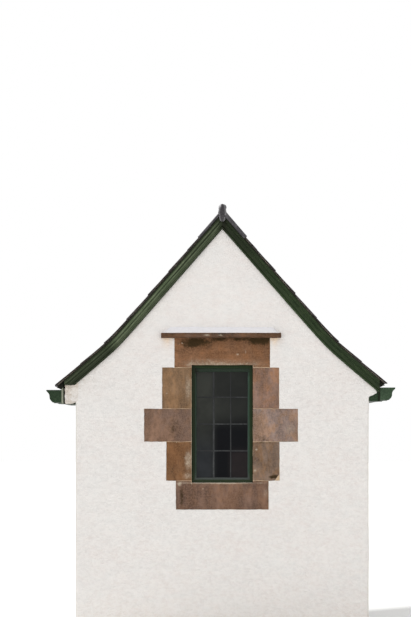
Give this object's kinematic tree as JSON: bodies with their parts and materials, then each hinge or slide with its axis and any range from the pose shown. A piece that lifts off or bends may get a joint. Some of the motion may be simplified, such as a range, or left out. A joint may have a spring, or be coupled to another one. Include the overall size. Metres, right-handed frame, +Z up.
{
  "type": "gabled wall dormer with leaded casement",
  "caption": "Roughcast gabled wall dormer with a stone-dressed leaded casement, bellcast slate roof, lead ridge, moulded bargeboards and ogee gutters.",
  "frame": {"origin": "on the ground under the middle of the whole piece", "axes": "+Z up, +X to the right seen from the front, +Y back towards the house"},
  "size_m": [3.352, 2.461, 4.18],
  "materials": {
    "roughcast": "limewashed wet-dash roughcast with faint trowel marks",
    "sandstone": "worn red-brown sandstone, stained with algae",
    "lime_mortar": "pale lime mortar",
    "slate": "riven purple-grey slate with lichen",
    "lead": "dull weathered sheet lead",
    "green_joinery": "dark green gloss paint, weathered",
    "casement_green": "teal green paint",
    "leaded_lights": "dark old glass in lead cames",
    "gutter_iron": "dark green paint on cast iron",
    "black_iron": "black painted wrought iron",
    "roof_timber": "sawn softwood, aged",
    "inner_paint": "off-white eggshell paint"
  },
  "bodies": {
    "root": {"front_wall": "roughcast", "left_side_wall": "roughcast", "right_side_wall": "roughcast", "left_kneeler": "roughcast", "right_kneeler": "roughcast", "dripstone": "sandstone", "dripstone_fillet": "lime_mortar", "lintel": "sandstone", "sill": "sandstone", "left_upper_quoin": "sandstone", "left_long_quoin": "sandstone", "left_lower_quoin": "sandstone", "right_upper_quoin": "sandstone", "right_long_quoin": "sandstone", "right_lower_quoin": "sandstone", "window_frame": "green_joinery", "casement": "casement_green", "leaded_glass": "leaded_lights", "window_board": "inner_paint", "inner_lintel": "roof_timber", "casement_handle": "black_iron", "casement_stay": "black_iron", "wall_plates": "roof_timber", "rafters": "roof_timber", "sprockets": "roof_timber", "collar_ties": "roof_timber", "ridge_board": "roof_timber", "valley_boards": "roof_timber", "left_sarking": "roof_timber", "right_sarking": "roof_timber", "left_slates": "slate", "right_slates": "slate", "ridge_lead": "lead", "valley_lead": "lead", "left_bargeboard": "green_joinery", "right_bargeboard": "green_joinery", "left_verge_moulding": "green_joinery", "right_verge_moulding": "green_joinery", "left_fascia": "green_joinery", "right_fascia": "green_joinery", "left_soffit": "green_joinery", "right_soffit": "green_joinery", "left_gutter": "gutter_iron", "right_gutter": "gutter_iron", "right_box_end": "green_joinery"}
  },
  "joints": []
}
